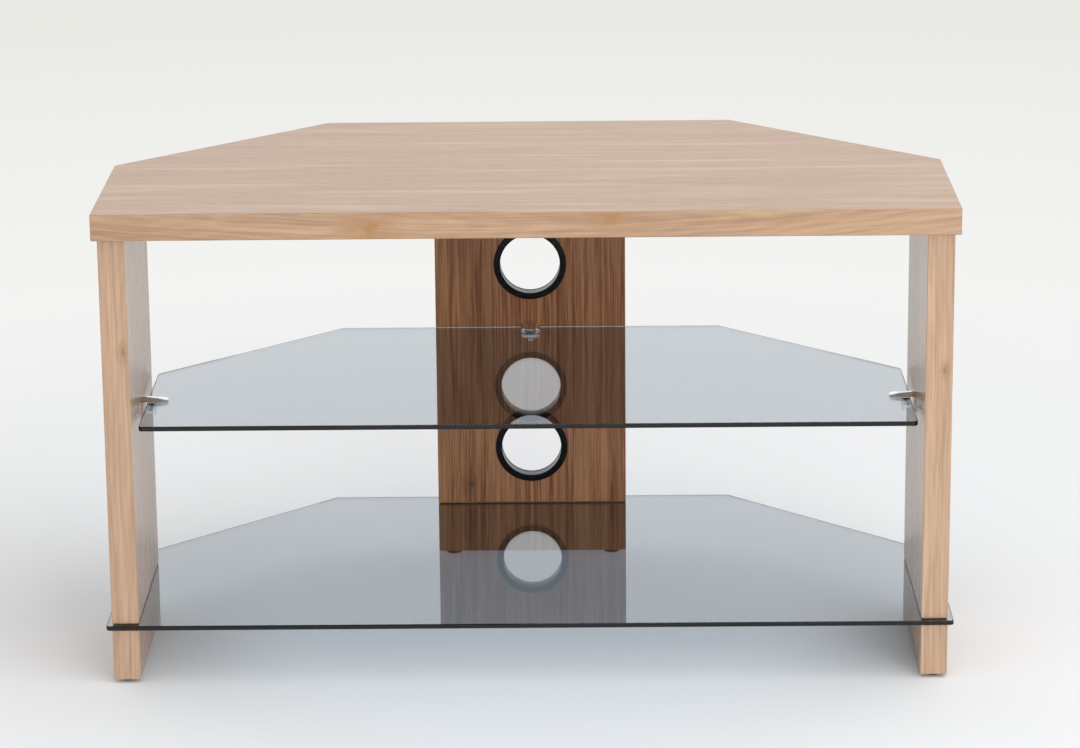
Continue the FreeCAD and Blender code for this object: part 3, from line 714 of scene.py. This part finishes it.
def modelRing():
    # section of the sleeve and its flange, spun round the Y axis
    look = ringLook
    wall = look["sleeve"] - look["bore"]
    deep = look["back"] - look["face"]
    middle = (look["bore"] + wall / 2, look["face"] + deep / 2, 0)
    deselectAll()
    bpy.ops.mesh.primitive_plane_add(size=wall, location=middle)
    ring = editPiece()
    bpy.ops.mesh.select_all(action="SELECT")
    bpy.ops.transform.resize(value=(1, deep / wall, 1), center_override=middle)
    pick("EDGE", lambda edge: edgeEnds(edge, lambda co: near(co.y, look["face"])))
    extrude((0, look["front"] - look["face"], 0))
    pick("EDGE", lambda edge: edgeEnds(
        edge, lambda co: near(co.x, look["sleeve"]) and co.y < look["face"] + slack))
    extrude((look["flange"] - look["sleeve"], 0, 0))
    pick("FACE", every)
    bpy.ops.mesh.dissolve_faces()
    pick("VERT", lambda vertex: near(vertex.co.y, look["front"])
         and (near(vertex.co.x, look["bore"]) or near(vertex.co.x, look["flange"])))
    roundOff(look["round"], look["roundSegments"], "VERTICES")
    pick("VERT", lambda vertex: near(vertex.co.y, look["back"])
         or near(vertex.co.x, look["flange"]) and near(vertex.co.y, look["face"]))
    roundOff(look["backRound"], look["backSegments"], "VERTICES")
    pick("EDGE", lambda edge: edgeEnds(edge, lambda co: near(co.x, look["bore"])))
    bpy.ops.mesh.subdivide(number_cuts=look["boreCuts"])
    pick("VERT", lambda vertex: near(vertex.co.x, look["bore"])
         and vertex.co.y > look["face"] + look["stepFrom"] * deep)
    bpy.ops.transform.translate(value=(look["step"], 0, 0))      # small step inside the bore
    pick("FACE", every)
    bpy.ops.mesh.delete(type="ONLY_FACE")
    bpy.ops.mesh.select_all(action="SELECT")
    bpy.ops.mesh.spin(steps=look["turnSteps"], angle=2 * pi, center=(0, 0, 0), axis=(0, 1, 0))
    closePiece()
    smooth(ring, look["shadeAngle"])
    return ring


footLook = {
    "radius": 10.5 * mm, "height": 4.5 * mm, "sides": 64, "round": 1.2 * mm, "roundSegments": 5,
    "recess": 3.6 * mm, "recessDepth": 2.2 * mm, "recessLip": 0.15 * mm, "flat": 0.99, "shadeAngle": 35,
}


def modelFoot():
    # round glide with a rounded rim and a recess for its nail
    look = footLook
    deselectAll()
    bpy.ops.mesh.primitive_cylinder_add(vertices=look["sides"], radius=look["radius"],
                                        depth=look["height"], location=(0, 0, look["height"] / 2))
    foot = editPiece()
    outwards()
    pick("EDGE", lambda edge: edgeEnds(edge, lambda co: near(co.z, 0)))
    roundOff(look["round"], look["roundSegments"])
    pick("FACE", lambda face: face.normal.z < -look["flat"] and near(face.calc_center_median().z, 0))
    bpy.ops.mesh.inset(thickness=look["radius"] - look["round"] - look["recess"], depth=0)
    bpy.ops.mesh.inset(thickness=look["recessLip"], depth=-look["recessLip"])
    extrude((0, 0, look["recessDepth"] - look["recessLip"]))
    closePiece()
    smooth(foot, look["shadeAngle"])
    return foot


def clipMatrix(side):      # from the clip's own space to its place against the wood
    low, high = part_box(side + "_clip_body")
    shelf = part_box("middle_shelf")
    middle = (low + high) / 2
    level = (shelf[0].z + shelf[1].z) / 2
    if side == "back":
        return Matrix.Translation((middle.x, high.y, level)) @ Matrix.Rotation(-pi / 2, 4, "Z")
    if side == "left":
        return Matrix.Translation((low.x, middle.y, level))
    return Matrix.Translation((high.x, middle.y, level)) @ Matrix.Rotation(pi, 4, "Z")


clip = modelClip()
clampScrew = modelClampScrew()
for side in ("left", "right", "back"):
    place = clipMatrix(side)
    settle(clip, side + "ClipChrome", place, side + "_clip_body", chrome)
    settle(clampScrew, side + "ClampScrew", place, side + "_clip_clamp_screw", chrome)
ring = modelRing()
for level in ("upper", "lower"):
    low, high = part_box(level + "_cable_ring")
    place = Matrix.Translation(((low.x + high.x) / 2, 0, (low.z + high.z) / 2))
    settle(ring, level + "CableRing", place, level + "_cable_ring", ringBlack)
foot = modelFoot()
for spot in ("left_front", "left_rear", "right_front", "right_rear", "column_left", "column_right"):
    low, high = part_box(spot + "_foot")
    place = Matrix.Translation(((low.x + high.x) / 2, (low.y + high.y) / 2, low.z))
    settle(foot, spot.replace("_", "-") + "-glide", place, spot + "_foot", footBlack)
for master in (clip, clampScrew, ring, foot):
    bpy.data.objects.remove(master)
print("clips, screws, rings and glides modelled")


# stage, light and camera

stageLook = {
    "size": 40.0, "floor": (0.895, 0.912, 0.926, 1), "roughness": 0.9,
    "near": (0.905, 0.91, 0.895, 1), "far": (0.82, 0.82, 0.78, 1),
    "fadeRange": (0.75, 1.9), "farRange": (1.8, 4.5),
    # painted light: a bluish glow on the floor below the shelves
    "paintedGlowColour": (0.74, 0.84, 0.94, 1), "paintedGlowShare": 0.36, "paintedGlowRange": (0.70, 0.34),
    "paintedGlowShape": (1.2, 0.85, 1.0),
}


def seenRays(make):
    path = make("LightPath")
    seen = calc(make, "MAXIMUM", path.outputs["Is Camera Ray"], path.outputs["Is Glossy Ray"])
    return calc(make, "MAXIMUM", seen, path.outputs["Is Transmission Ray"])


def glowOf(make, colour):
    return make("Emission", {"Color": colour, "Strength": 1.0}).outputs[0]


def makeStage():
    # matt floor that takes the shadow, with painted light below the shelves, and turns into a plain pale
    # backdrop further away
    look = stageLook
    deselectAll()
    bpy.ops.mesh.primitive_plane_add(size=look["size"], location=(0, 0, 0))
    floorPlane = bpy.context.object
    floorPlane.name = "floor"
    material, make, surface = newMaterial(
        "paleFloor", Base_Color=look["floor"], Roughness=look["roughness"], Specular_IOR_Level=0.0)
    spot = objectSpot(make)
    away = lengthOf(make, spot)
    fade = ramp(make, away, *look["fadeRange"], curve="SMOOTHSTEP")
    distant = ramp(make, away, *look["farRange"])
    backdrop = glowOf(make, blendColours(make, distant, look["near"], look["far"]))
    # painted light: a faint bluish glow on the floor below the glass shelves, which lightens their shadow
    # for the camera, gloss and glass
    inside = lengthOf(make, stretch(make, spot, look["paintedGlowShape"]))
    lift = ramp(make, inside, *look["paintedGlowRange"], high=look["paintedGlowShare"], curve="SMOOTHSTEP")
    paintedUnderGlow = glowOf(make, look["paintedGlowColour"])
    seen = seenRays(make)
    both = mixShaders(make, times(make, lift, seen), surface.outputs[0], paintedUnderGlow)
    both = mixShaders(make, times(make, fade, seen), both, backdrop)
    # a camera below the floor looks up through it
    below = make("NewGeometry").outputs["Backfacing"]
    below = times(make, below, make("LightPath").outputs["Is Camera Ray"])
    both = mixShaders(make, below, both, make("BsdfTransparent").outputs[0])
    plug(material.node_tree.nodes["Material Output"], "Surface", both)
    floorPlane.data.materials.append(material)


roomLook = {
    "sky": 0.78, "bright": (1.11, 1.13, 1.15, 1), "dim": (0.14, 0.145, 0.16, 1),
    "dimRange": (-0.75, 0.05), "ceiling": (0.24, 0.19, 0.15, 1), "ceilingRange": (0.36, 0.56),
}


def makeWorld():
    # soft light on the object, and a plain pale backdrop where the camera looks past it
    look = roomLook
    world = bpy.data.worlds.new("studio")
    world.use_nodes = True
    world.node_tree.nodes.clear()
    make = nodeMaker(world.node_tree)
    sky = make("Background", {"Color": (1, 1, 1, 1), "Strength": look["sky"]}).outputs[0]
    # gloss and glass see a dimmer room in front and a darker ceiling
    ahead = ramp(make, axisPart(make, objectSpot(make), "Y"), *look["dimRange"], curve="SMOOTHSTEP")
    room = blendColours(make, ahead, look["dim"], look["bright"])
    high = ramp(make, axisPart(make, objectSpot(make), "Z"), *look["ceilingRange"], curve="SMOOTHSTEP")
    room = blendColours(make, high, room, look["ceiling"])
    direct = make("LightPath").outputs["Is Camera Ray"]
    colour = blendColours(make, direct, room, stageLook["far"])
    backdrop = make("Background", {"Color": colour, "Strength": 1.0}).outputs[0]
    plug(make("OutputWorld"), "Surface", mixShaders(make, seenRays(make), sky, backdrop))
    bpy.context.scene.world = world


softBoxes = {
    "overhead": {"place": (1.2, -0.7, 3.2), "aim": (0, 0, 0.5), "size": 2.6, "power": 30.0,
                 "mirrored": True},
    "front": {"place": (1.6, -4.2, 1.3), "aim": (0, 0, 0.25), "size": 2.2, "power": 50.5,
              "mirrored": False},      # it would blank out the glass from behind
}


def makeLights():
    for name, look in softBoxes.items():
        bpy.ops.object.light_add(type="AREA", location=look["place"])
        lamp = bpy.context.object
        lamp.name = name
        lamp.data.size = look["size"]
        lamp.data.energy = look["power"]
        lamp.visible_glossy = look["mirrored"]
        lamp.visible_transmission = look["mirrored"]
        aim = Vector(look["aim"]) - Vector(look["place"])
        lamp.rotation_euler = aim.to_track_quat("-Z", "Y").to_euler()


view = {
    "frameWidth": 1080, "sensor": 36.0, "focalPixels": 3881.4,
    "place": (0.0470, -4.8166, 1.6500), "yaw": -0.0069, "pitch": -0.2687, "roll": -0.0092,
}


def makeCamera():
    camera = bpy.data.objects.new("camera", bpy.data.cameras.new("camera"))
    bpy.context.scene.collection.objects.link(camera)
    camera.data.sensor_width = view["sensor"]
    camera.data.lens = view["focalPixels"] / view["frameWidth"] * view["sensor"]
    heading = Matrix.Rotation(-view["yaw"], 4, "Z")
    tilt = Matrix.Rotation(pi / 2 + view["pitch"], 4, "X")
    lean = Matrix.Rotation(view["roll"], 4, "Z")
    camera.matrix_world = Matrix.Translation(view["place"]) @ heading @ tilt @ lean
    bpy.context.scene.camera = camera


makeStage()
makeWorld()
makeLights()
makeCamera()
bpy.context.scene.view_settings.view_transform = "Standard"
print("stage, light and camera ready")
